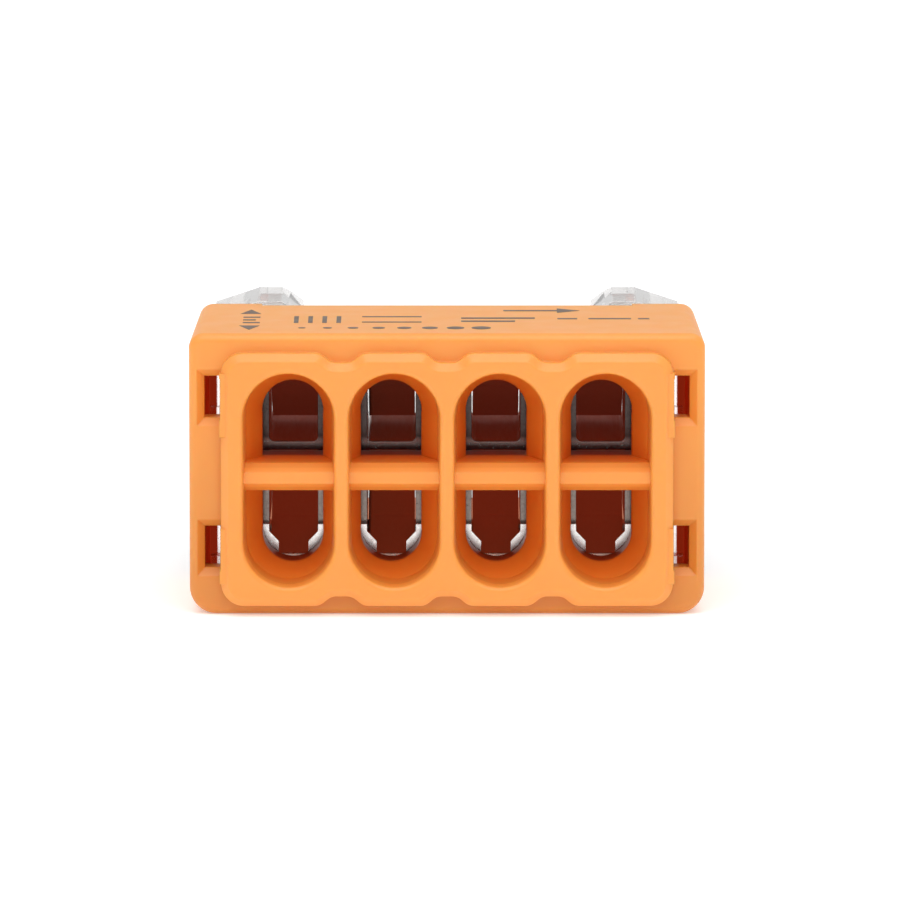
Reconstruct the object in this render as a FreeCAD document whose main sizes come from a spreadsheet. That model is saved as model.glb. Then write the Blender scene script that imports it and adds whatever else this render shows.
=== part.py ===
import FreeCAD, Part
import math
import os
import re
import Sketcher

# Eight-way push-in wire connector, two rows of four ports.
# X runs across the ports, Y from the ports back to the rear end, Z up.
# The origin is the middle of the footprint, on the surface the connector rests on.
# The lower row's springs are the upper row's, turned half a turn about the plane between the rows.

SIZES = {
    # how far cutting outlines run past what they cut
    "run_out": 1.0,
    "overrun": 0.1,
    # whole connector
    "overall_width": 18.1,
    "overall_height": 10.0,
    "overall_depth": 17.0,
    # cover shell
    "cover_depth": 7.4,
    "cover_height": 9.97,
    "cover_rear_width": 17.68,
    "cover_rear_height": 9.92,
    "upper_corner": 0.52,
    "lower_corner": 0.95,
    "cover_edge_round": 0.3,
    "side_wall": 0.55,
    "roof_wall": 0.6,
    "front_wall": 1.0,
    "rear_relief_width": 13.2,
    "rear_relief": 0.4,
    # raised block on the cover
    "block_width": 15.84,
    "block_bottom": 0.37,
    "block_top": 9.34,
    "block_rise": 0.6,
    "block_bevel": 0.27,
    "block_corner": 0.8,
    "core_inset": 0.05,
    "notch_mouth": 1.54,
    "notch_floor": 0.7,
    "notch_depth": 0.34,
    "notch_round": 0.5,
    # wells, funnels and wire holes
    "pitch": 3.7,
    "hole_shift": 0.12,
    "row_middle": 4.85,
    "well_radius": 1.61,
    "well_reach": 2.19,
    "throat_radius": 1.5,
    "throat_depth": 1.3,
    "hole_radius": 1.075,
    "row_offset": 2.165,
    "funnel_depth": 2.3,
    "hole_length": 1.1,
    "arc_overrun": 8.0,
    "mouth_round": 0.17,
    # bar of plastic between the rows
    "septum_middle": 4.9,
    "septum_half": 0.49,
    "septum_nose_half": 0.19,
    "septum_nose": 0.4,
    "septum_setback": 0.35,
    "septum_width": 15.0,
    # windows at the snap catches
    "window_outer": 8.5,
    "window_bevel": 0.27,
    "window_height": 1.48,
    "upper_window": 6.98,
    "lower_window": 1.65,
    "window_overlap": 0.03,
    "strip_setback": 0.1,
    "strip_width": 0.3,
    "strip_edge": 7.97,
    "strip_drop": 0.6,
    # clear housing
    "seam": 0.1,
    "housing_width": 17.5,
    "shoulder_side": 8.6,
    "shoulder_hip": 8.32,
    "hip_height": 9.37,
    "shoulder_outer": 6.74,
    "shoulder_inner": 5.92,
    "shoulder_break": 5.65,
    "break_height": 9.84,
    "shoulder_foot": 5.17,
    "deck_height": 9.4,
    "deck_flat": 1.0,
    "deck_rear": 8.3,
    "ridge_flat": 3.4,
    "ridge_run": 1.8,
    "ridge_foot": 8.5,
    "ridge_rear": 7.6,
    "housing_corner": 0.8,
    "plug_clearance": 0.1,
    "plug_nose_width": 15.6,
    "plug_nose": 2.5,
    "arm_thickness": 0.13,
    "arm_inset": 0.29,
    "arm_length": 0.9,
    "arm_margin": 0.9,
    "catch_length": 0.4,
    "catch_height": 0.36,
    "catch_inner": 7.98,
    "catch_outer": 8.33,
    "upper_catch": 6.76,
    "lower_catch": 1.47,
    # cells in the housing
    "cell_half": 1.3,
    "cell_reach": 4.0,
    "cell_depth": 7.6,
    "pocket_half": 1.1,
    "pocket_low": 0.5,
    "pocket_high": 2.5,
    "pocket_depth": 4.6,
    "bar_slot_width": 14.7,
    "bar_slot_half": 0.52,
    "bar_slot_depth": 6.0,
    "test_slot_left": 4.35,
    "test_slot_right": 5.0,
    "test_slot_front": 0.6,
    "test_slot_length": 1.6,
    # busbar
    "bar_width": 14.4,
    "bar_thickness": 0.9,
    "bar_depth": 4.8,
    "bar_setback": 0.72,
    "bar_corner": 0.3,
    # contact cage
    "cage_setback": 0.15,
    "cage_depth": 6.3,
    "cage_inner": 0.86,
    "cage_outer": 1.16,
    "cage_floor_low": 0.47,
    "cage_floor_high": 0.75,
    "cage_round": 0.18,
    "wall_reach": 2.3,
    "upper_wall_reach": 3.0,
    "wall_setback": 0.4,
    "neck_low": 2.13,
    "neck_high": 2.45,
    "foot_reach": 3.4,
    "foot_inner": 0.52,
    "foot_knee": 2.38,
    "foot_shin": 2.74,
    "foot_thickness": 0.25,
    "link_depth": 0.25,
    # clamping spring
    "strip_thickness": 0.22,
    "leg_half": 1.0,
    "hinge_back": 0.9,
    "hinge_height": 3.5,
    "knuckle_radius": 0.2,
    "knuckle_clearance": 0.05,
    "curl_angle": 35.0,
    "leg_length": 6.5,
    "tab_drop": 0.5,
    "tongue_half": 0.82,
    "tongue_thickness": 0.2,
    "tongue_slope": 24.5,
    "tongue_bend": 10.0,
    "tongue_first": 2.6,
    "tongue_second": 2.5,
}

# Y stations, from front to back
FACE = "-overall_depth / 2"
FLANGE = "(block_rise - overall_depth / 2)"
HOLE = "(funnel_depth - overall_depth / 2)"
CORE_BACK = "(funnel_depth + hole_length - overall_depth / 2)"
COVER_BACK = "(block_rise + cover_depth - overall_depth / 2)"
PLUG_FRONT = "(funnel_depth + hole_length + seam - overall_depth / 2)"
HOUSING_FRONT = "(block_rise + cover_depth + seam - overall_depth / 2)"
CAGE_FRONT = "(funnel_depth + hole_length + cage_setback - overall_depth / 2)"
CELL_BACK = "(funnel_depth + hole_length + seam + cell_depth - overall_depth / 2)"
HINGE = "(funnel_depth + hole_length + hinge_back - overall_depth / 2)"

# centre of each column's wire holes; the holes sit a little off their wells
COLUMNS = {
    "1": "-1.5 * pitch + hole_shift",
    "2": "-0.5 * pitch - hole_shift",
    "3": "0.5 * pitch - hole_shift",
    "4": "1.5 * pitch - hole_shift",
}
WELLS = {"1": "-1.5 * pitch", "2": "-0.5 * pitch", "3": "0.5 * pitch", "4": "1.5 * pitch"}
RIBS = ["-pitch", "0", "pitch"]
SIDES = {"left": "-1", "right": "1"}
NEAR = 1e-4
DRAFT = 0.05

# the sketcher's numbers for a curve's first point, last point and centre
START, END, CENTRE = 1, 2, 3
ORIGIN = -1

doc = FreeCAD.newDocument("wire_connector")


def fill_sheet():
    """Driving dimensions in millimetres and degrees, one aliased cell each."""
    sheet = doc.addObject("Spreadsheet::Sheet", "dims")
    for row, (alias, size) in enumerate(SIZES.items(), start=1):
        sheet.set("A%d" % row, alias)
        sheet.set("B%d" % row, str(size))
        sheet.setAlias("B%d" % row, alias)
    doc.recompute()


def tie(text):
    """The same formula with every sheet alias given its sheet's name."""
    def prefixed(word):
        return "dims." + word.group() if word.group() in SIZES else word.group()
    return re.sub(r"[a-z_]+", prefixed, text)


def size_of(owner, text):
    """What a formula comes to, as a plain number."""
    return float(owner.evalExpression(tie(text)))


def new_body(label, across="0", height="0", turned=False):
    """Empty body at a column and height, turned over for the lower row."""
    body = doc.addObject("PartDesign::Body", label)
    body.Label = label
    half_turn = 180 if turned else 0
    spin = FreeCAD.Rotation(FreeCAD.Vector(0, 1, 0), half_turn)
    body.Placement = FreeCAD.Placement(FreeCAD.Vector(), spin)
    body.setExpression("Placement.Base.x", tie(across))
    body.setExpression("Placement.Base.z", tie(height))
    return body


def origin_plane(body, role):
    """One of the body's own origin planes."""
    return next(item for item in body.Origin.OriginFeatures if item.Role == role)


def outline(body, name, role, station, corners):
    """Closed sketch whose corners follow the sheet.

    A corner is (across, up), or (across, up, centre across, centre up, turn) where the edge that
    leaves it is an arc; turn is 1 for anticlockwise and -1 for clockwise.
    """
    sketch = body.newObject("Sketcher::SketchObject", name)
    sketch.AttachmentSupport = [(origin_plane(body, role), "")]
    sketch.MapMode = "FlatFace"
    sign = "-" if role == "XZ_Plane" else ""
    sketch.setExpression("AttachmentOffset.Base.z", tie("%s(%s)" % (sign, station)))
    spots = [FreeCAD.Vector(size_of(sketch, c[0]), size_of(sketch, c[1]), 0) for c in corners]
    ends = []
    for number, corner in enumerate(corners):
        here = spots[number]
        there = spots[(number + 1) % len(spots)]
        if len(corner) == 2:
            sketch.addGeometry(Part.LineSegment(here, there))
            ends.append((START, END))
        else:
            ends.append(add_arc(sketch, corner, here, there))
    for number, corner in enumerate(corners):
        follower = (number + 1) % len(corners)
        joined = Sketcher.Constraint("Coincident", number, ends[number][1], follower, ends[follower][0])
        sketch.addConstraint(joined)
        place_point(sketch, number, ends[number][0], corner[0], corner[1])
        if len(corner) > 2:
            place_centre(sketch, number, corner, spots[number], spots[follower])
    return sketch


def add_arc(sketch, corner, here, there):
    """Arc from one corner to the next; gives the numbers of its first and last points."""
    centre = FreeCAD.Vector(size_of(sketch, corner[2]), size_of(sketch, corner[3]), 0)
    first, last = (here, there) if corner[4] > 0 else (there, here)
    angles = [math.atan2(spot.y - centre.y, spot.x - centre.x) for spot in (first, last)]
    circle = Part.Circle(centre, FreeCAD.Vector(0, 0, 1), (here - centre).Length)
    sketch.addGeometry(Part.ArcOfCircle(circle, angles[0], angles[1]))
    return (START, END) if corner[4] > 0 else (END, START)


def bind(sketch, kind, geometry, point, text):
    """Distance from the sketch's origin to a point, tied to a formula."""
    datum = Sketcher.Constraint(kind, ORIGIN, START, geometry, point, size_of(sketch, text))
    number = sketch.addConstraint(datum)
    sketch.setExpression("Constraints[%d]" % number, tie(text))


def place_point(sketch, geometry, point, across, up):
    """Both coordinates of a point, tied to the sheet."""
    bind(sketch, "DistanceX", geometry, point, across)
    bind(sketch, "DistanceY", geometry, point, up)


def place_centre(sketch, geometry, corner, here, there):
    """The one coordinate of an arc's centre that its end points leave free."""
    chord = there - here
    if abs(chord.x) >= abs(chord.y):
        bind(sketch, "DistanceY", geometry, CENTRE, corner[3])
    else:
        bind(sketch, "DistanceX", geometry, CENTRE, corner[2])


def rectangle(body, name, station, left, right, low, high, role="XZ_Plane"):
    """Upright rectangle on an origin plane."""
    return outline(body, name, role, station, [(left, low), (right, low), (right, high), (left, high)])


def stadium(body, name, station, centre, radius, reach, past="0"):
    """Upright slot with round ends, centred on the plane between the rows.

    The round ends may run a few degrees past the half circle, which brings the flanks a hair closer.
    """
    left = "%s - %s * cos(%s)" % (centre, radius, past)
    right = "%s + %s * cos(%s)" % (centre, radius, past)
    low = "row_middle - " + reach
    high = "row_middle + " + reach
    turn = "%s * sin(%s)" % (radius, past)
    return outline(body, name, "XZ_Plane", station, [
        (right, low + " + " + turn),
        (right, high + " - " + turn, centre, high, 1),
        (left, high + " - " + turn),
        (left, low + " + " + turn, centre, low, 1),
    ])


def add(body, sketch, length, reverse=False):
    """Pad that has to make the body larger."""
    before = body.Shape.Volume if body.Tip else 0.0
    pad = body.newObject("PartDesign::Pad", sketch.Name + "_pad")
    pad.Profile = sketch
    pad.setExpression("Length", tie(length))
    pad.Reversed = reverse
    doc.recompute()
    if body.Shape.Volume <= before:
        raise ValueError(pad.Name + " adds nothing")
    return pad


def cut(body, sketch, length, reverse=False):
    """Pocket that has to make the body smaller."""
    before = body.Shape.Volume
    pocket = body.newObject("PartDesign::Pocket", sketch.Name + "_cut")
    pocket.Profile = sketch
    pocket.setExpression("Length", tie(length))
    pocket.Reversed = reverse
    doc.recompute()
    if body.Shape.Volume >= before:
        raise ValueError(pocket.Name + " cuts nothing")
    return pocket


def cut_loft(body, name, sections):
    """Straight-sided funnel through a row of sections."""
    before = body.Shape.Volume
    loft = body.newObject("PartDesign::SubtractiveLoft", name)
    loft.Profile = sections[0]
    loft.Sections = sections[1:]
    loft.Ruled = True
    doc.recompute()
    if body.Shape.Volume >= before:
        raise ValueError(name + " cuts nothing")
    return loft


def edges_where(body, test):
    """Names of the tip's edges whose two ends and middle all pass the test."""
    names = []
    for number, edge in enumerate(body.Tip.Shape.Edges, start=1):
        middle = edge.valueAt((edge.FirstParameter + edge.LastParameter) / 2)
        spots = [vertex.Point for vertex in edge.Vertexes] + [middle]
        if all(test(spot) for spot in spots):
            names.append("Edge%d" % number)
    return names


def dress(body, kind, name, size, names):
    """Fillet or chamfer on the named edges of the tip."""
    base = body.Tip
    feature = body.newObject("PartDesign::" + kind, name)
    feature.Base = (base, names)
    feature.setExpression("Radius" if kind == "Fillet" else "Size", tie(size))
    doc.recompute()
    if "Invalid" in feature.State:
        raise ValueError(name + " failed")
    return feature


def block_corners():
    """Scalloped outline of the raised block, anticlockwise from its lower left corner."""
    corners = [("-block_width / 2", "block_bottom")]
    for rib in RIBS:
        corners += notch(rib, "block_bottom", "+", ["-notch_mouth", "-notch_floor"])
    corners += [("block_width / 2", "block_bottom"), ("block_width / 2", "block_top")]
    for rib in reversed(RIBS):
        corners += notch(rib, "block_top", "-", ["+notch_mouth", "+notch_floor"])
    corners.append(("-block_width / 2", "block_top"))
    return corners


def notch(rib, level, sign, halves):
    """Four corners of one scallop, in the order the outline is walked."""
    floor = "%s %s notch_depth" % (level, sign)
    far = [half.replace("-", "x").replace("+", "-").replace("x", "+") for half in halves]
    return [
        ("%s %s / 2" % (rib, halves[0]), level),
        ("%s %s / 2" % (rib, halves[1]), floor),
        ("%s %s / 2" % (rib, far[1]), floor),
        ("%s %s / 2" % (rib, far[0]), level),
    ]


def make_front_cover():
    """Moulded cover: shell, scalloped block, wells with funnels, septum and snap windows."""
    body = new_body("front_cover")
    half_width = "overall_width / 2"
    shell = rectangle(body, "shell", FLANGE, "-" + half_width, half_width, "0", "cover_height")
    add(body, shell, "cover_depth", reverse=True)
    draft_shell(body)
    flange_y = size_of(body, FLANGE)
    face_y = size_of(body, FACE)
    middle = size_of(body, "row_middle")
    upper = [n for n in edges_where(body, lambda p: p.z > middle) if edge_runs_back(body, n)]
    dress(body, "Fillet", "upper_corners", "upper_corner", upper)
    lower = [n for n in edges_where(body, lambda p: p.z < NEAR) if edge_runs_back(body, n)]
    dress(body, "Fillet", "lower_corners", "lower_corner", lower)
    rim = edges_where(body, lambda p: abs(p.y - flange_y) < NEAR)
    dress(body, "Fillet", "shell_rim", "cover_edge_round", rim)

    block = outline(body, "block", "XZ_Plane", FLANGE, block_corners())
    add(body, block, "block_rise")
    upright = [n for n in edges_where(body, lambda p: p.y < flange_y + NEAR) if edge_runs_back(body, n)]
    half_block = size_of(body, "block_width / 2")
    outer = [n for n in upright if abs(abs(edge_point(body, n).x) - half_block) < NEAR]
    inner = [n for n in upright if n not in outer]
    dress(body, "Fillet", "notch_rounds", "notch_round", inner)
    upright = [n for n in edges_where(body, lambda p: p.y < flange_y + NEAR) if edge_runs_back(body, n)]
    outer = [n for n in upright if abs(abs(edge_point(body, n).x) - half_block) < NEAR]
    dress(body, "Fillet", "block_corners", "block_corner", outer)
    front = edges_where(body, lambda p: abs(p.y - face_y) < NEAR)
    dress(body, "Chamfer", "block_bevel", "block_bevel", front)
    add_window_strips(body)
    cut_wells(body)
    add_septum(body)
    hollow_cover(body)
    cut_windows(body)
    return body


def draft_shell(body):
    """Sides and top that close in towards the rear, as the mould needs."""
    sky = "cover_height + run_out"
    roof = outline(body, "roof_draft", "YZ_Plane", "-overall_width / 2", [
        (FLANGE, "cover_height"),
        (COVER_BACK, "cover_rear_height"),
        (COVER_BACK, sky),
        (FLANGE, sky),
    ])
    cut(body, roof, "overall_width", reverse=True)
    for side, sign in SIDES.items():
        outside = "%s * (overall_width / 2 + run_out)" % sign
        flank = outline(body, "draft_" + side, "XY_Plane", sky, [
            ("%s * overall_width / 2" % sign, FLANGE),
            ("%s * cover_rear_width / 2" % sign, COVER_BACK),
            (outside, COVER_BACK),
            (outside, FLANGE),
        ])
        cut(body, flank, sky + " + run_out")


def edge_named(body, name):
    """Edge of the tip by its name."""
    return body.Tip.Shape.getElement(name)


def edge_point(body, name):
    """First end of an edge."""
    return edge_named(body, name).Vertexes[0].Point


def edge_runs_back(body, name):
    """True for an edge along Y, or within its draft of it."""
    ends = [vertex.Point for vertex in edge_named(body, name).Vertexes]
    if len(ends) < 2:
        return False
    run = ends[1] - ends[0]
    return math.hypot(run.x, run.z) < DRAFT * abs(run.y)


def add_window_strips(body):
    """Low flats that square off the block's bevel beside each window."""
    spans = {
        "upper": ("upper_window - strip_drop", "block_top - block_corner + overrun"),
        "lower": ("block_bottom + block_corner", "lower_window + window_height"),
    }
    for side, sign in SIDES.items():
        for row, (low, high) in spans.items():
            inner = "%s * (strip_edge - strip_width)" % sign
            outer = "%s * strip_edge" % sign
            strip = rectangle(body, "strip_%s_%s" % (row, side), FLANGE, inner, outer, low, high)
            add(body, strip, "block_rise - strip_setback")


def cut_wells(body):
    """Four wells that narrow in two stages to the wire holes behind them."""
    for column, well in WELLS.items():
        hole = COLUMNS[column]
        throat_y = FACE + " + throat_depth"
        sections = [
            stadium(body, "mouth_" + column, FACE, well, "well_radius", "well_reach"),
            stadium(body, "throat_" + column, throat_y, well, "throat_radius", "well_reach"),
            stadium(body, "neck_" + column, HOLE, hole, "hole_radius", "row_offset", "arc_overrun"),
        ]
        cut_loft(body, "funnel_" + column, sections)
        bore = stadium(body, "bore_" + column, HOLE, hole, "hole_radius", "row_offset", "arc_overrun")
        cut(body, bore, "hole_length + front_wall")
    face_y = size_of(body, FACE)
    limit = size_of(body, "block_width / 2 - block_bevel") - NEAR
    low = size_of(body, "block_bottom + block_bevel + notch_depth") + NEAR
    high = size_of(body, "block_top - block_bevel - notch_depth") - NEAR
    mouths = edges_where(body, lambda p: abs(p.y - face_y) < NEAR and abs(p.x) < limit and low < p.z < high)
    dress(body, "Fillet", "mouth_rounds", "mouth_round", mouths)


def add_septum(body):
    """Bar with a blunt nose that parts the two rows."""
    nose = FACE + " + septum_setback"
    shoulder = nose + " + septum_nose"
    profile = outline(body, "septum", "YZ_Plane", "-septum_width / 2", [
        (CORE_BACK, "septum_middle - septum_half"),
        (CORE_BACK, "septum_middle + septum_half"),
        (shoulder, "septum_middle + septum_half"),
        (nose, "septum_middle + septum_nose_half"),
        (nose, "septum_middle - septum_nose_half"),
        (shoulder, "septum_middle - septum_half"),
    ])
    add(body, profile, "septum_width")


def hollow_cover(body):
    """Room for the housing's plug behind the core, and for its snap arms around the core."""
    half = "(overall_width / 2 - side_wall)"
    ceiling = "cover_height - roof_wall"
    cavity = rectangle(body, "cavity", COVER_BACK, "-" + half, half, "roof_wall", ceiling)
    cut(body, cavity, "cover_depth + block_rise - funnel_depth - hole_length", reverse=True)
    inner = "(strip_edge - core_inset)"
    for side, sign in SIDES.items():
        near = "%s * %s" % (sign, inner)
        far = "%s * %s" % (sign, half)
        arm_room = rectangle(body, "arm_room_" + side, CORE_BACK, near, far, "roof_wall", ceiling)
        cut(body, arm_room, "funnel_depth + hole_length - block_rise - front_wall", reverse=True)
    edge = "rear_relief_width / 2"
    relief = rectangle(body, "relief", COVER_BACK, "-" + edge, edge,
                       "cover_height - 2 * roof_wall", "cover_height")
    cut(body, relief, "rear_relief", reverse=True)


def cut_windows(body):
    """Openings in the flange that show the snap catches, bevelled on their three free sides."""
    for side, sign in SIDES.items():
        near = "%s * (strip_edge - window_overlap)" % sign
        far = "%s * window_outer" % sign
        wide = "%s * (window_outer + window_bevel)" % sign
        for row in ("upper", "lower"):
            name = "%s_%s" % (row, side)
            low = row + "_window"
            high = low + " + window_height"
            window = rectangle(body, "window_" + name, FACE, near, far, low, high)
            cut(body, window, "block_rise + front_wall + overrun")
            rim = rectangle(body, "rim_" + name, FLANGE, near, wide,
                            low + " - window_bevel", high + " + window_bevel")
            foot = rectangle(body, "rim_foot_" + name, FLANGE + " + window_bevel", near, far, low, high)
            cut_loft(body, "bevel_" + name, [rim, foot])


def make_clear_housing():
    """Clear rear housing with shoulders, plug, snap arms, cells and a test slot."""
    body = new_body("clear_housing")
    half = "housing_width / 2"
    rear = outline(body, "rear", "XZ_Plane", HOUSING_FRONT, [
        ("-" + half, "0"),
        (half, "0"),
        (half, "shoulder_side"),
        ("shoulder_hip", "hip_height"),
        ("shoulder_outer", "overall_height"),
        ("shoulder_inner", "overall_height"),
        ("shoulder_break", "break_height"),
        ("shoulder_foot", "deck_height"),
        ("-shoulder_foot", "deck_height"),
        ("-shoulder_break", "break_height"),
        ("-shoulder_inner", "overall_height"),
        ("-shoulder_outer", "overall_height"),
        ("-shoulder_hip", "hip_height"),
        ("-" + half, "shoulder_side"),
    ])
    add(body, rear, "overall_depth - block_rise - cover_depth - seam", reverse=True)
    slope_roof(body)
    corners = [n for n in edges_where(body, lambda p: p.y > size_of(body, "overall_depth / 2") - NEAR)
               if abs(edge_point(body, n).x) > size_of(body, half) - NEAR and edge_runs_up(body, n)]
    dress(body, "Fillet", "rear_corners", "housing_corner", corners)
    add_plug(body)
    cut_cells(body)
    slot = rectangle(body, "test_slot", "overall_height", "test_slot_left", "test_slot_right",
                     "test_slot_front", "test_slot_front + test_slot_length", role="XY_Plane")
    cut(body, slot, "overall_height - row_middle - cell_reach + overrun")
    return body


def edge_runs_up(body, name):
    """True for a straight edge along Z."""
    ends = [vertex.Point for vertex in edge_named(body, name).Vertexes]
    run = ends[1] - ends[0]
    return abs(run.x) < NEAR and abs(run.y) < NEAR


def slope_roof(body):
    """Roof that falls towards the rear end: the deck evenly, the shoulders steeply at first."""
    back = "overall_depth / 2 + run_out"
    sky = "overall_height + run_out"
    deck_start = HOUSING_FRONT + " + deck_flat"
    deck = outline(body, "deck_slope", "YZ_Plane", "-shoulder_foot", [
        (deck_start, "deck_height"),
        (back, "deck_rear"),
        (back, sky),
        (deck_start, sky),
    ])
    cut(body, deck, "2 * shoulder_foot", reverse=True)
    ridge_start = HOUSING_FRONT + " + ridge_flat"
    ridge = outline(body, "ridge_slope", "YZ_Plane", "-overall_width / 2", [
        (ridge_start, "overall_height"),
        (ridge_start + " + ridge_run", "ridge_foot"),
        (back, "ridge_rear"),
        (back, sky),
        (ridge_start, sky),
    ])
    cut(body, ridge, "overall_width", reverse=True)


def add_plug(body):
    """Plug with a narrower nose, and the arms beside the nose that carry the snap catches."""
    half = "(overall_width / 2 - side_wall - plug_clearance)"
    low = "roof_wall + plug_clearance"
    high = "cover_height - roof_wall - plug_clearance"
    plug = rectangle(body, "plug", HOUSING_FRONT, "-" + half, half, low, high)
    add(body, plug, "cover_depth + block_rise - funnel_depth - hole_length")
    for side, sign in SIDES.items():
        nose = rectangle(body, "nose_" + side, PLUG_FRONT, sign + " * plug_nose_width / 2",
                         sign + " * overall_width / 2", "0", "overall_height")
        cut(body, nose, "plug_nose")
        outer = "%s * (%s - arm_inset)" % (sign, half)
        inner = "%s * (%s - arm_inset - arm_thickness)" % (sign, half)
        arm = rectangle(body, "arm_" + side, PLUG_FRONT + " + plug_nose", inner, outer,
                        "arm_margin", "overall_height - arm_margin")
        add(body, arm, "plug_nose + arm_length")
        for row in ("upper", "lower"):
            level = row + "_catch"
            catch = rectangle(body, "catch_%s_%s" % (row, side), PLUG_FRONT + " - arm_length",
                              sign + " * catch_inner", sign + " * catch_outer",
                              level, level + " + catch_height")
            add(body, catch, "catch_length")


def cut_cells(body):
    """Tall cells for the contacts, blind pockets for the wire ends and the busbar's slot."""
    for column, centre in COLUMNS.items():
        cell = rectangle(body, "cell_" + column, PLUG_FRONT, centre + " - cell_half", centre + " + cell_half",
                         "row_middle - cell_reach", "row_middle + cell_reach")
        cut(body, cell, "cell_depth")
        for row, sign in (("upper", "+"), ("lower", "-")):
            low = "row_middle %s pocket_low" % sign
            high = "row_middle %s pocket_high" % sign
            pocket = rectangle(body, "wire_end_%s_%s" % (row, column), CELL_BACK,
                               centre + " - pocket_half", centre + " + pocket_half", low, high)
            cut(body, pocket, "pocket_depth")
    edge = "bar_slot_width / 2"
    slot = rectangle(body, "bar_slot", PLUG_FRONT, "-" + edge, edge,
                     "row_middle - bar_slot_half", "row_middle + bar_slot_half")
    cut(body, slot, "bar_slot_depth")


def make_busbar():
    """Flat copper bar that joins the four contact cages."""
    body = new_body("busbar", height="row_middle")
    half = "bar_width / 2"
    bar = rectangle(body, "bar", CAGE_FRONT + " + bar_setback", "-" + half, half,
                    "-bar_thickness / 2", "bar_thickness / 2")
    add(body, bar, "bar_depth", reverse=True)
    corners = [n for n in edges_where(body, lambda p: True) if edge_runs_up(body, n)]
    dress(body, "Fillet", "bar_corners", "bar_corner", corners)
    return body


def make_cage(column):
    """Stamped frame of one column: a trough for each row, linked in front of the busbar.

    The upper trough has taller walls; the lower one has feet that face the wire.
    """
    body = new_body("contact_cage_" + column, COLUMNS[column], "row_middle")
    trough_y = CAGE_FRONT + " + wall_setback"
    depth = "cage_depth - wall_setback"
    for side, sign in SIDES.items():
        inner = "%s * cage_inner" % sign
        outer = "%s * cage_outer" % sign
        wall = rectangle(body, "wall_" + side, trough_y, inner, outer, "-wall_reach", "upper_wall_reach")
        add(body, wall, depth, reverse=True)
        if side == "left":
            add_floors(body, trough_y, depth)
    cut_link(body, trough_y)
    round_troughs(body)
    add_feet(body)
    return body


def add_floors(body, trough_y, depth):
    """Floor of the upper trough and roof of the lower one."""
    for row, sign in (("upper", "1"), ("lower", "-1")):
        near = "%s * cage_floor_low" % sign
        far = "%s * cage_floor_high" % sign
        floor = rectangle(body, "floor_" + row, trough_y, "-cage_outer", "cage_outer", near, far)
        add(body, floor, depth, reverse=True)


def cut_link(body, trough_y):
    """Gap between the troughs, behind the link, that the busbar passes through."""
    gap = rectangle(body, "gap", trough_y + " + link_depth", "-cage_outer - overrun", "cage_outer + overrun",
                    "-cage_floor_low", "cage_floor_low")
    cut(body, gap, "cage_depth")


def round_troughs(body):
    """Inside radius of the troughs where the floor turns up into the walls."""
    inner = size_of(body, "cage_inner")
    level = size_of(body, "cage_floor_high")
    inside = edges_where(body, lambda p: abs(abs(p.x) - inner) < NEAR and abs(abs(p.z) - level) < NEAR)
    dress(body, "Fillet", "trough_rounds", "cage_round", inside)


def add_feet(body):
    """Feet that turn in at the lower end of each wall, either side of the spring."""
    outline_of_foot = [
        ("cage_inner", "neck_low"),
        ("cage_outer", "neck_low"),
        ("cage_outer", "foot_reach"),
        ("foot_inner", "foot_reach"),
        ("foot_inner", "foot_shin"),
        ("cage_inner", "foot_knee"),
    ]
    for side, sign in SIDES.items():
        corners = [("%s * %s" % (sign, x), "-" + z) for x, z in outline_of_foot]
        foot = outline(body, "foot_" + side, "XZ_Plane", CAGE_FRONT, corners)
        add(body, foot, "foot_thickness", reverse=True)
        neck = rectangle(body, "neck_" + side, CAGE_FRONT, sign + " * cage_inner", sign + " * cage_outer",
                         "-neck_high", "-neck_low")
        add(body, neck, "wall_setback + foot_thickness", reverse=True)


def make_spring_leg(row, column):
    """Fixed leg of a clamping spring, with the bend that its tongue turns in."""
    body = new_body("spring_leg_%s_%s" % (row, column), COLUMNS[column], "row_middle", row == "lower")
    inner = "(knuckle_radius + knuckle_clearance)"
    outer = "(knuckle_radius + knuckle_clearance + strip_thickness)"
    back = HINGE + " + leg_length"
    lip_across = HINGE + " - %s * cos(curl_angle)"
    lip_up = "hinge_height - %s * sin(curl_angle)"
    profile = outline(body, "leg", "YZ_Plane", "-leg_half", [
        (HINGE, "hinge_height + " + outer, HINGE, "hinge_height", 1),
        (lip_across % outer, lip_up % outer),
        (lip_across % inner, lip_up % inner, HINGE, "hinge_height", -1),
        (HINGE, "hinge_height + " + inner),
        (back, "hinge_height + " + inner),
        (back, "hinge_height + %s - tab_drop" % inner),
        (back + " + strip_thickness", "hinge_height + %s - tab_drop" % inner),
        (back + " + strip_thickness", "hinge_height + " + outer),
    ])
    add(body, profile, "2 * leg_half")
    return body


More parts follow.
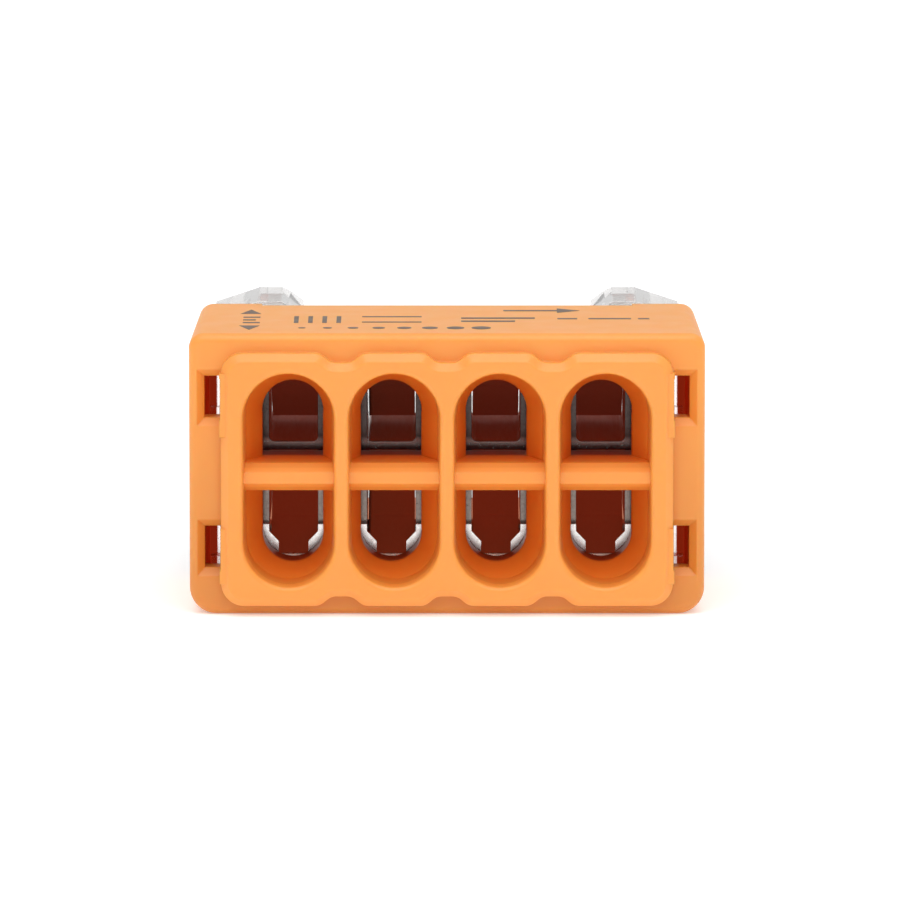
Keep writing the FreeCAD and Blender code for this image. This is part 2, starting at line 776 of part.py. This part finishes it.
def make_tongue(row, column):
    """Clamping tongue: round root on the hinge axis and a bent leaf down to the contact."""
    body = new_body("spring_tongue_%s_%s" % (row, column), COLUMNS[column], "row_middle", row == "lower")
    root = "sqrt(knuckle_radius ^ 2 - tongue_thickness ^ 2 / 4)"
    half = "tongue_thickness / 2"
    steep = "(tongue_slope + tongue_bend)"
    knee = "(tongue_thickness / 2 * tan(tongue_bend / 2))"

    def spot(along, aside):
        """Point of the first, gently sloping stretch."""
        across = "%s + (%s) * cos(tongue_slope) + (%s) * sin(tongue_slope)" % (HINGE, along, aside)
        return across, "hinge_height - (%s) * sin(tongue_slope) + (%s) * cos(tongue_slope)" % (along, aside)

    def far_spot(aside):
        """Point at the tip, at the end of the steeper stretch."""
        bend = spot("tongue_first", "0")
        across = "%s + tongue_second * cos(%s) + (%s) * sin(%s)" % (bend[0], steep, aside, steep)
        return across, "%s - tongue_second * sin(%s) + (%s) * cos(%s)" % (bend[1], steep, aside, steep)

    top = spot(root, half)
    profile = outline(body, "tongue", "YZ_Plane", "-tongue_half", [
        (top[0], top[1], HINGE, "hinge_height", 1),
        spot(root, "-" + half),
        spot("tongue_first - " + knee, "-" + half),
        far_spot("-" + half),
        far_spot(half),
        spot("tongue_first + " + knee, half),
    ])
    add(body, profile, "2 * tongue_half")
    return body


def check_and_write(bodies):
    """Stop at any failed object, then write one STEP file for each sub-part."""
    doc.recompute()
    for item in doc.Objects:
        if "Invalid" in item.State or "Error" in item.State:
            raise RuntimeError(item.Name + " failed: " + ", ".join(item.State))
    os.makedirs("parts", exist_ok=True)
    for body in bodies:
        if body.Shape.isNull() or not body.Shape.isValid():
            raise RuntimeError(body.Label + " has no valid shape")
        box = body.Shape.BoundBox
        print("%-26s solids %d volume %8.3f  x %.2f..%.2f  y %.2f..%.2f  z %.2f..%.2f" % (
            body.Label, len(body.Shape.Solids), body.Shape.Volume,
            box.XMin, box.XMax, box.YMin, box.YMax, box.ZMin, box.ZMax))
        body.Shape.exportStep("parts/%s.step" % body.Label)


def build():
    """Every sub-part of the connector."""
    fill_sheet()
    bodies = [make_front_cover(), make_clear_housing(), make_busbar()]
    bodies += [make_cage(column) for column in COLUMNS]
    for row in ("upper", "lower"):
        bodies += [make_spring_leg(row, column) for column in COLUMNS]
        bodies += [make_tongue(row, column) for column in COLUMNS]
    check_and_write(bodies)


build()
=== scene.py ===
"""Looks of the eight-way push-in wire connector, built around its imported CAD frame."""

import math

import bmesh
import bpy
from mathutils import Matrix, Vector


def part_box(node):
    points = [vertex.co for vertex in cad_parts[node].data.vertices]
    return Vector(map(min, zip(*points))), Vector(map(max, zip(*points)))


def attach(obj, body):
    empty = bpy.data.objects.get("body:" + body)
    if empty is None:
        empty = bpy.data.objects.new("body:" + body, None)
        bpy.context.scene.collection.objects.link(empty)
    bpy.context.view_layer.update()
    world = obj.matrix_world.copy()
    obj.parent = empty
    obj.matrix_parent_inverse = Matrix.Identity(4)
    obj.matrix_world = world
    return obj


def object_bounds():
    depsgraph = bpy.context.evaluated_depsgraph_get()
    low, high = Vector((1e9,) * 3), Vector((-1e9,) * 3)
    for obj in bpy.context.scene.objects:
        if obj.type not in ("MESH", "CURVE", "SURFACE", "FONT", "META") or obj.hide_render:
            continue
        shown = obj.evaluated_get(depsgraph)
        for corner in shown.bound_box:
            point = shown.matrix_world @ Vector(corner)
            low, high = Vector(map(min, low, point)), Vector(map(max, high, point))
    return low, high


MM = 0.001
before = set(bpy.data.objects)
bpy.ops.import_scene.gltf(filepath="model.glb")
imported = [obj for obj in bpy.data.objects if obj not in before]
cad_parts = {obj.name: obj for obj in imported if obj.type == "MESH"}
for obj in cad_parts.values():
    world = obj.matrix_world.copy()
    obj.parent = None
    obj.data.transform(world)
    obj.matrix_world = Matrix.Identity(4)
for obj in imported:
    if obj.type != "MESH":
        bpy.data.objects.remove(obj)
cad_low, cad_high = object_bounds()

# stations of the CAD along Y, from front to back
FACE_Y = cad_low.y
FLANGE_Y = FACE_Y + 0.6 * MM
HOLE_Y = FACE_Y + 2.3 * MM
ARM_FRONT_Y = -5.9 * MM
CAGE_FRONT_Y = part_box("contact_cage_1")[0].y
PLUG_STEP_Y = -2.5 * MM
COVER_BACK_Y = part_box("front_cover")[1].y
CELL_BACK_Y = 2.6 * MM

# heights of the cover's top at its front and of the plane between the rows
COVER_TOP = 9.97 * MM
COVER_FALL = 0.05 * MM
ROW_MIDDLE = 4.85 * MM

# from the middle plane to the middle of a pair of columns, and from there to a column
# (the second column stands 0.24 mm further out, so the masks end at its outer edge)
PAIR_MIDDLE = 3.58 * MM
COLUMN_ASIDE = 1.85 * MM

NO_LIGHT = (0.0, 0.0, 0.0)


# ---------------------------------------------------------------- shader helpers

class Shader:
    """New node material with short ways to add the nodes that the materials share."""

    def __init__(self, name):
        self.material = bpy.data.materials.new(name)
        self.material.use_nodes = True
        self.nodes = self.material.node_tree.nodes
        self.links = self.material.node_tree.links
        self.surface = self.nodes["Principled BSDF"]
        self.output = self.nodes["Material Output"]
        self.place = self.nodes.new("ShaderNodeTexCoord").outputs["Object"]

    def set(self, name, value):
        """Constant on one of the shader's own sockets."""
        self.surface.inputs[name].default_value = value

    def drive(self, name, source):
        """Texture or ramp into one of the shader's sockets."""
        self.links.new(source, self.surface.inputs[name])

    def noise(self, scale, detail=2.0, stretch=None):
        """Noise in object space; scale is in features per metre."""
        texture = self.nodes.new("ShaderNodeTexNoise")
        texture.inputs["Scale"].default_value = scale
        texture.inputs["Detail"].default_value = detail
        source = self.place
        if stretch:
            mapping = self.nodes.new("ShaderNodeMapping")
            mapping.inputs["Scale"].default_value = stretch
            self.links.new(source, mapping.inputs["Vector"])
            source = mapping.outputs["Vector"]
        self.links.new(source, texture.inputs["Vector"])
        return texture.outputs["Fac"]

    def spread(self, source, low, high, start=0.3, end=0.7):
        """Number that runs from low to high as the source goes from start to end."""
        ramp = self.nodes.new("ShaderNodeMapRange")
        ramp.inputs["From Min"].default_value = start
        ramp.inputs["From Max"].default_value = end
        ramp.inputs["To Min"].default_value = low
        ramp.inputs["To Max"].default_value = high
        self.links.new(source, ramp.inputs["Value"])
        return ramp.outputs["Result"]

    def past(self, source, start, end):
        """Mask that comes up between two values of the source."""
        return self.spread(source, 0.0, 1.0, start, end)

    def short_of(self, source, start, end):
        """Mask that dies away between two values of the source."""
        return self.spread(source, 1.0, 0.0, start, end)

    def maths(self, kind, first, second=None):
        """One arithmetic step on sockets or plain numbers."""
        step = self.nodes.new("ShaderNodeMath")
        step.operation = kind
        for socket, value in zip(step.inputs, (first, second)):
            if isinstance(value, (int, float)):
                socket.default_value = value
            elif value is not None:
                self.links.new(value, socket)
        return step.outputs["Value"]

    def all_of(self, first, *others):
        """Mask where all the masks hold."""
        for other in others:
            first = self.maths("MULTIPLY", first, other)
        return first

    def any_of(self, first, *others):
        """Mask where any of the masks holds."""
        for other in others:
            first = self.maths("MAXIMUM", first, other)
        return first

    def distance(self, source, centre):
        """How far the source is from a value."""
        return self.maths("ABSOLUTE", self.maths("SUBTRACT", source, centre))

    def blend(self, factor, first, second):
        """Colour between two colours or colour sockets."""
        mix = self.nodes.new("ShaderNodeMix")
        mix.data_type = "RGBA"
        self.links.new(factor, mix.inputs["Factor"])
        for socket, value in (("A", first), ("B", second)):
            if isinstance(value, tuple):
                mix.inputs[socket].default_value = (*value, 1.0)
            else:
                self.links.new(value, mix.inputs[socket])
        return mix.outputs["Result"]

    def axes(self):
        """The three object-space coordinates: sideways from the middle plane, back and up."""
        parts = self.nodes.new("ShaderNodeSeparateXYZ")
        self.links.new(self.place, parts.inputs["Vector"])
        return self.maths("ABSOLUTE", parts.outputs["X"]), parts.outputs["Y"], parts.outputs["Z"]

    def soften_edges(self, radius, height, strength, distance):
        """Edges shaded as if rounded, with a fine relief on top."""
        round_over = self.nodes.new("ShaderNodeBevel")
        round_over.samples = 8
        round_over.inputs["Radius"].default_value = radius
        bump = self.nodes.new("ShaderNodeBump")
        bump.inputs["Strength"].default_value = strength
        bump.inputs["Distance"].default_value = distance
        self.links.new(height, bump.inputs["Height"])
        self.links.new(round_over.outputs["Normal"], bump.inputs["Normal"])
        self.links.new(bump.outputs["Normal"], self.surface.inputs["Normal"])


# ---------------------------------------------------------------- materials

def orange_plastic():
    """Moulded orange plastic with a spark-eroded skin; painted shade makes it redder in the wells, dark in
    the holes and darker towards the bottom from the flange back.
    """
    made = Shader("orange_plastic")
    sideways, back, up = made.axes()
    ports = made.all_of(made.short_of(sideways, 7.3 * MM, 7.6 * MM),
                        made.short_of(made.distance(up, ROW_MIDDLE), 3.82 * MM, 3.95 * MM))
    # painted shade: the walls of the wells painted redder and deeper orange, as shade deep in them
    well_shade = made.all_of(made.past(back, FACE_Y + 0.2 * MM, FACE_Y + 1.6 * MM), ports)
    # painted shade: the holes behind the wells painted dark red
    bore_shade = made.all_of(made.past(back, HOLE_Y - 0.1 * MM, HOLE_Y + 0.25 * MM), ports)
    # painted shade: darker towards the bottom, from the flange's front plane back
    low_flange_shade = made.all_of(made.spread(up, 0.45, 0.0, 0.5 * MM, 9.0 * MM),
                             made.past(back, FLANGE_Y - 0.08 * MM, FLANGE_Y - 0.02 * MM))
    skin = made.blend(made.noise(260.0), (0.87, 0.335, 0.058), (0.91, 0.365, 0.07))
    # the next three blends paint these shades into the skin colour
    skin = made.blend(low_flange_shade, skin, (0.46, 0.15, 0.02))
    skin = made.blend(well_shade, skin, (0.86, 0.21, 0.02))
    made.drive("Base Color", made.blend(bore_shade, skin, (0.34, 0.05, 0.01)))
    made.drive("Roughness", made.spread(made.noise(900.0), 0.36, 0.43))
    made.set("Subsurface Weight", 0.4)
    made.set("Subsurface Radius", (1.0, 0.33, 0.1))
    made.set("Subsurface Scale", 0.7 * MM)
    made.set("IOR", 1.52)
    made.soften_edges(0.09 * MM, made.noise(14000.0), 0.12, 0.01 * MM)
    return made.material


def clear_plastic():
    """Clear polycarbonate, faintly smoky; where it sits under the cover it is painted dark red as shade, and
    at the outer flanks it is also made opaque with a painted dark red glow.
    """
    made = Shader("clear_plastic")
    sideways, back, up = made.axes()
    before_step = made.short_of(back, PLUG_STEP_Y - 0.5 * MM, PLUG_STEP_Y - 0.1 * MM)
    wide_plug = made.all_of(made.past(back, PLUG_STEP_Y - 0.5 * MM, PLUG_STEP_Y - 0.1 * MM),
                            made.short_of(back, COVER_BACK_Y + 0.2 * MM, COVER_BACK_Y + 0.3 * MM))
    nose = made.all_of(made.short_of(sideways, 7.82 * MM, 7.9 * MM), before_step)
    cell_ends = made.all_of(made.past(back, CELL_BACK_Y - 0.2 * MM, CELL_BACK_Y - 0.1 * MM),
                            made.short_of(back, CELL_BACK_Y + 0.1 * MM, CELL_BACK_Y + 0.2 * MM))
    under_skin = made.all_of(made.short_of(up, 9.0 * MM, 9.1 * MM),
                             made.past(up, 0.3 * MM, 0.5 * MM),
                             made.short_of(sideways, 8.6 * MM, 8.7 * MM))
    # painted shade: the wide plug, nose and cell ends that sit under the cover are painted dark red
    covered_shade = made.all_of(made.any_of(wide_plug, nose, cell_ends), under_skin)
    arms = made.all_of(made.past(back, ARM_FRONT_Y + 0.02 * MM, ARM_FRONT_Y + 0.06 * MM), before_step)
    # the outer flanks, arms included, get painted shade, no transmission and a painted dark red glow
    flank_shade_glow = made.all_of(made.past(sideways, 7.82 * MM, 7.9 * MM), made.any_of(arms, covered_shade))
    clean = made.blend(made.noise(120.0), (0.97, 0.962, 0.957), (0.945, 0.935, 0.93))
    # the next three lines paint the shade, make the outer flanks opaque and give them a painted glow
    made.drive("Base Color", made.blend(made.any_of(flank_shade_glow, covered_shade), clean, (0.2, 0.026, 0.009)))
    made.drive("Transmission Weight", made.short_of(flank_shade_glow, 0.0, 1.0))
    made.drive("Emission Color", made.blend(flank_shade_glow, NO_LIGHT, (0.17, 0.012, 0.003)))
    made.set("Emission Strength", 1.0)
    made.set("IOR", 1.36)
    made.drive("Roughness", made.spread(made.noise(500.0), 0.05, 0.12))
    smoke = made.nodes.new("ShaderNodeVolumeAbsorption")
    smoke.inputs["Color"].default_value = (0.7, 0.66, 0.62, 1.0)
    smoke.inputs["Density"].default_value = 20.0
    made.links.new(smoke.outputs["Volume"], made.output.inputs["Volume"])
    made.soften_edges(0.06 * MM, made.noise(400.0, stretch=(1.0, 0.3, 1.0)), 0.1, 0.02 * MM)
    return made.material


def metal(name, first, second, low, high):
    """Rolled strip with a faint grain; its sheared front edges are dull and painted with shade by height,
    and in the wire space it is painted a dark red-brown shade with a painted dark red glow.
    """
    made = Shader(name)
    streak = made.noise(9000.0, stretch=(1.0, 0.08, 1.0))
    sideways, back, up = made.axes()
    level = made.distance(up, ROW_MIDDLE)
    rows = made.short_of(level, 3.35 * MM, 3.5 * MM)
    off_column = made.distance(made.distance(sideways, PAIR_MIDDLE), COLUMN_ASIDE)
    # painted shade and painted reflection of the orange walls: in the wire space the metal is painted dark
    # red-brown and made less metallic
    inside_shade = made.all_of(made.past(back, CAGE_FRONT_Y + 0.42 * MM, CAGE_FRONT_Y + 0.7 * MM), rows,
                         made.short_of(off_column, 0.95 * MM, 1.05 * MM))
    front_edges = made.all_of(made.past(back, CAGE_FRONT_Y + 0.3 * MM, CAGE_FRONT_Y + 0.38 * MM), rows)
    upper_row = made.past(up, ROW_MIDDLE - 0.4 * MM, ROW_MIDDLE + 0.4 * MM)
    # painted shade on the sheared front edges: darker on the upper row's walls than on the lower row's,
    # lighter on the floor bars; their dull grey is the sheared metal's own
    shaded_wall_edges = made.blend(upper_row, (0.22, 0.18, 0.16), (0.07, 0.052, 0.048))
    lit_floor_edges = made.short_of(level, 0.75 * MM, 0.95 * MM)
    sheared_edge_shade = made.blend(lit_floor_edges, shaded_wall_edges, (0.4, 0.36, 0.34))
    strip = made.blend(front_edges, made.blend(streak, first, second), sheared_edge_shade)
    made.drive("Base Color", made.blend(inside_shade, strip, (0.5, 0.085, 0.035)))
    made.drive("Metallic", made.spread(inside_shade, 1.0, 0.15, 0.0, 1.0))
    # painted glow in the wire space, weaker in the upper row
    painted_glow = made.blend(upper_row, (0.06, 0.0098, 0.0035), (0.028, 0.006, 0.003))
    made.drive("Emission Color", made.blend(inside_shade, NO_LIGHT, painted_glow))
    made.set("Emission Strength", 1.0)
    dull = made.maths("MULTIPLY", inside_shade, 0.5)
    made.drive("Roughness", made.maths("ADD", made.spread(streak, low, high), dull))
    made.soften_edges(0.035 * MM, streak, 0.08, 0.004 * MM)
    return made.material


def ink():
    """Pad-printed marking ink, worn a little thin in places."""
    made = Shader("marking_ink")
    made.drive("Base Color", made.blend(made.noise(2500.0, 4.0), (0.1, 0.07, 0.055), (0.2, 0.14, 0.105)))
    made.drive("Roughness", made.spread(made.noise(1200.0), 0.45, 0.6))
    return made.material


def floor_paint():
    """Plain pale studio floor that keeps its brightness around the part."""
    made = Shader("studio_floor")
    made.drive("Base Color", made.blend(made.noise(3.0), (0.93, 0.93, 0.93), (0.95, 0.95, 0.95)))
    made.set("Roughness", 0.9)
    made.set("Emission Color", (1.0, 1.0, 1.0, 1.0))
    made.set("Emission Strength", 0.28)
    return made.material


def paint_frame():
    """Materials of the CAD nodes."""
    orange = orange_plastic()
    clear = clear_plastic()
    tin = metal("tinned_copper", (0.78, 0.77, 0.75), (0.88, 0.87, 0.85), 0.16, 0.28)
    # the brown tint in the spring steel's colour is painted reflection of the orange walls around it
    steel = metal("spring_steel", (0.44, 0.34, 0.29), (0.5, 0.39, 0.33), 0.25, 0.35)
    for node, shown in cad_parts.items():
        if node == "front_cover":
            chosen = orange
        elif node == "clear_housing":
            chosen = clear
        elif node.startswith("spring"):
            chosen = steel
        else:
            chosen = tin
        for slot in shown.material_slots:
            slot.material = chosen


# ---------------------------------------------------------------- printed marks

def top_of_cover(y):
    """Height of the cover's drafted top at a station."""
    share = (y - FLANGE_Y) / (COVER_BACK_Y - FLANGE_Y)
    return COVER_TOP - COVER_FALL * share


def mark(name, shapes, material):
    """Flat printed mark, a hair thick, from outlines in millimetres on the cover's top."""
    below = 0.006 * MM
    above = 0.008 * MM
    mesh = bmesh.new()
    for corners in shapes:
        rings = []
        for lift in (-below, above):
            rings.append([mesh.verts.new((x * MM, y * MM, top_of_cover(y * MM) + lift)) for x, y in corners])
        mesh.faces.new(list(reversed(rings[0])))
        mesh.faces.new(rings[1])
        for first in range(len(corners)):
            second = (first + 1) % len(corners)
            mesh.faces.new((rings[0][first], rings[0][second], rings[1][second], rings[1][first]))
    data = bpy.data.meshes.new(name)
    mesh.to_mesh(data)
    mesh.free()
    shown = bpy.data.objects.new(name, data)
    bpy.context.collection.objects.link(shown)
    data.materials.append(material)
    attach(shown, "root")


def disc(x, y, radius, corners=20):
    """Round outline."""
    turns = [2 * math.pi * n / corners for n in range(corners)]
    return [(x + radius * math.cos(t), y + radius * math.sin(t)) for t in turns]


def bar(left, right, front, back):
    """Rectangular outline."""
    return [(left, front), (right, front), (right, back), (left, back)]


def arrow_head(x, base, tip, half):
    """Triangle that points along Y."""
    corners = [(x - half, base), (x + half, base), (x, tip)]
    return corners if tip > base else list(reversed(corners))


def make_marks():
    """Plain marks: a strip-length gauge, wire sizes as growing dots, rules and an arrow to the test slot."""
    brown = ink()
    gauge = [
        arrow_head(-6.95, -3.0, -2.0, 0.36),
        arrow_head(-6.95, -5.85, -6.85, 0.36),
        bar(-7.2, -6.6, -3.95, -3.7),
        bar(-7.2, -6.75, -4.6, -4.35),
        bar(-7.2, -6.6, -5.25, -5.0),
    ]
    mark("strip_gauge", gauge, brown)
    dots = [disc(-5.1 + 0.9 * n, -6.4, 0.13 + 0.03 * n) for n in range(8)]
    mark("wire_size_dots", dots, brown)
    ticks = [bar(x, x + 0.16, -5.2, -3.6) for x in (-5.4, -4.9, -4.4, -3.9)]
    ticks += [bar(-3.0, -0.9, -3.8, -3.6), bar(-3.0, -0.9, -5.1, -4.9)]
    mark("plain_ticks", ticks, brown)
    rules = [bar(0.5, 3.1, -4.2, -3.9), bar(0.5, 2.4, -4.95, -4.65), bar(3.9, 4.6, -4.3, -4.05)]
    rules += [bar(5.0, 6.5, -4.3, -4.05), bar(6.75, 7.15, -4.3, -4.05)]
    mark("plain_rules", rules, brown)
    pointer = [bar(2.0, 3.9, -2.35, -2.1), [(3.9, -2.75), (4.7, -2.22), (3.9, -1.7)]]
    mark("test_slot_arrow", pointer, brown)


# ---------------------------------------------------------------- studio

def make_floor():
    """Wide pale floor under the connector."""
    bpy.ops.mesh.primitive_plane_add(size=6.0, location=(0, 0, cad_low.z))
    floor = bpy.context.object
    floor.name = "studio_floor"
    floor.data.materials.append(floor_paint())


def area_light(name, place, target, size, power):
    """Square soft light that looks at a point."""
    lamp = bpy.data.lights.new(name, "AREA")
    lamp.size = size
    lamp.energy = power
    holder = bpy.data.objects.new(name, lamp)
    bpy.context.collection.objects.link(holder)
    holder.location = place
    holder.rotation_euler = (Vector(target) - Vector(place)).to_track_quat("-Z", "Y").to_euler()


def make_lights():
    """Wide softbox above the front, and a pale room that is darker on the camera's side."""
    middle = (cad_low + cad_high) / 2
    area_light("softbox", (0, -0.42, 0.86), middle, 1.0, 6.4)
    world = bpy.data.worlds.new("studio")
    bpy.context.scene.world = world
    world.use_nodes = True
    nodes, links = world.node_tree.nodes, world.node_tree.links
    nodes["Background"].inputs["Color"].default_value = (1.0, 1.0, 1.0, 1.0)
    towards = nodes.new("ShaderNodeTexCoord").outputs["Generated"]
    parts = nodes.new("ShaderNodeSeparateXYZ")
    links.new(towards, parts.inputs["Vector"])
    room = nodes.new("ShaderNodeMapRange")
    for name, value in (("From Min", -1.0), ("From Max", -0.25), ("To Min", 0.36), ("To Max", 0.7)):
        room.inputs[name].default_value = value
    links.new(parts.outputs["Y"], room.inputs["Value"])
    links.new(room.outputs["Result"], nodes["Background"].inputs["Strength"])


def make_camera():
    """Long lens, slightly above the ports, square to the front."""
    elevation = math.radians(9.5)
    distance = 350 * MM
    width_in_view = 900 / 28.54 * MM
    aim = Vector((0.105 * MM, FLANGE_Y, 5.864 * MM))
    forward = Vector((0, math.cos(elevation), -math.sin(elevation)))
    eye = bpy.data.cameras.new("camera")
    eye.sensor_width = 36.0
    eye.lens = distance * eye.sensor_width / width_in_view
    eye.clip_start = 0.01
    eye.clip_end = 20.0
    camera = bpy.data.objects.new("camera", eye)
    bpy.context.collection.objects.link(camera)
    camera.location = aim - forward * distance
    camera.rotation_euler = forward.to_track_quat("-Z", "Y").to_euler()
    bpy.context.scene.camera = camera


bpy.context.scene.view_settings.view_transform = "Standard"
paint_frame()
make_marks()
make_floor()
make_lights()
make_camera()
